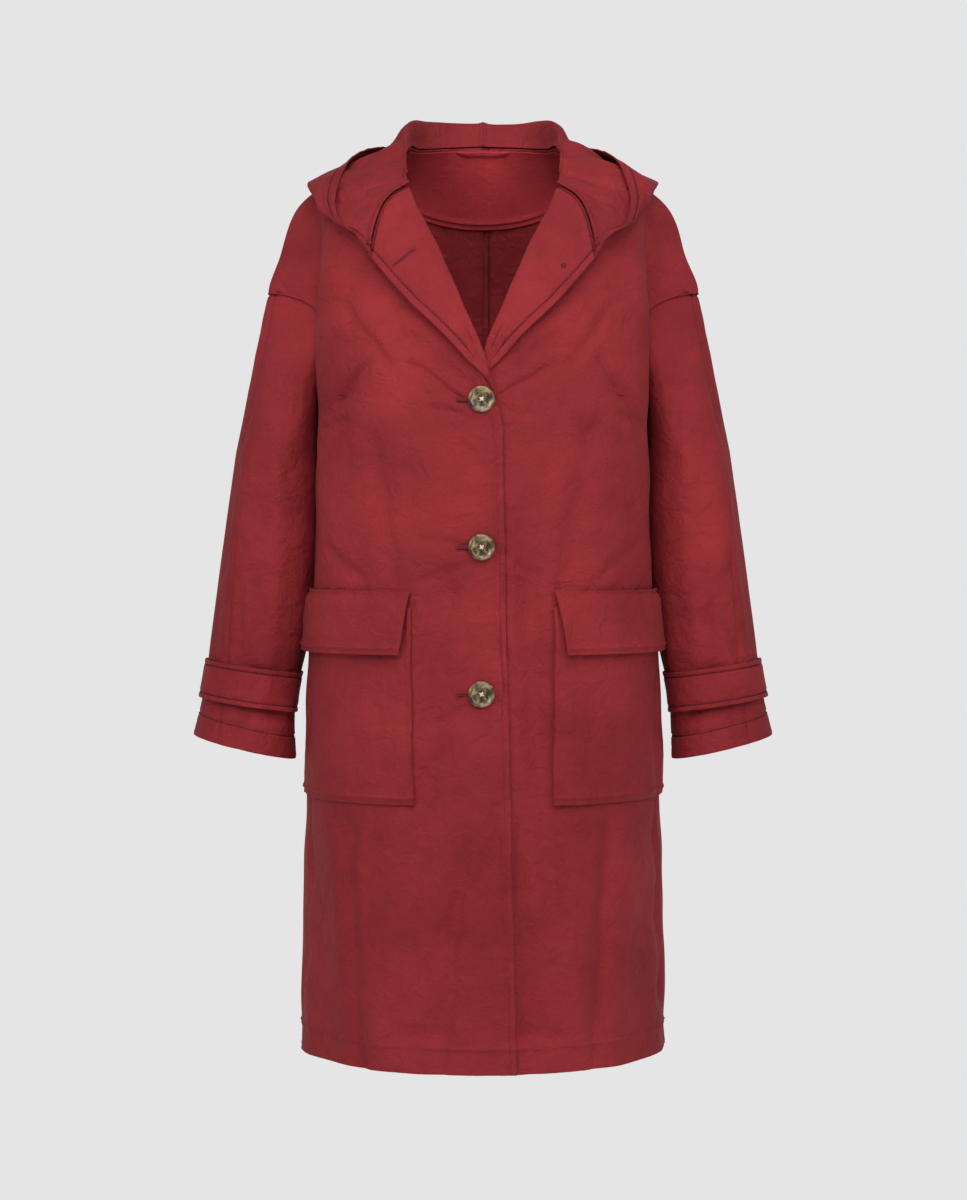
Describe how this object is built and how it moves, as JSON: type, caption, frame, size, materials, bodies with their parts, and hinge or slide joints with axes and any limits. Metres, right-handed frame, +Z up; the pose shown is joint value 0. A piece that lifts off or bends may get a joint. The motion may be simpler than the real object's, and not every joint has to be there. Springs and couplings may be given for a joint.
{
  "type": "hooded trench coat",
  "caption": "Knee-length hooded trench coat held in its worn shape: single-breasted, dropped shoulders, patch pockets with flaps, strapped cuffs, hood laid back",
  "frame": {"origin": "midway between the shoulders, at the height of the shoulder line under the laid-back hood", "axes": "+Z up the coat, the front faces -Y, +X is the wearer's left"},
  "size_m": [0.6576, 0.3394, 1.0576],
  "materials": {
    "twill": "matte cotton twill",
    "horn": "mottled horn effect, polished"
  },
  "bodies": {
    "root": {"front_left": "twill", "back_left": "twill", "sleeve_front_left": "twill", "sleeve_back_left": "twill", "cuff_strap_left": "twill", "pocket_left": "twill", "pocket_flap_left": "twill", "lapel_left": "twill", "hood_left": "twill", "front_right": "twill", "back_right": "twill", "sleeve_front_right": "twill", "sleeve_back_right": "twill", "cuff_strap_right": "twill", "pocket_right": "twill", "pocket_flap_right": "twill", "lapel_right": "twill", "hood_right": "twill", "back_neck_facing": "twill", "hanger_loop": "twill", "button_top": "horn", "button_middle": "horn", "button_bottom": "horn"}
  },
  "joints": []
}
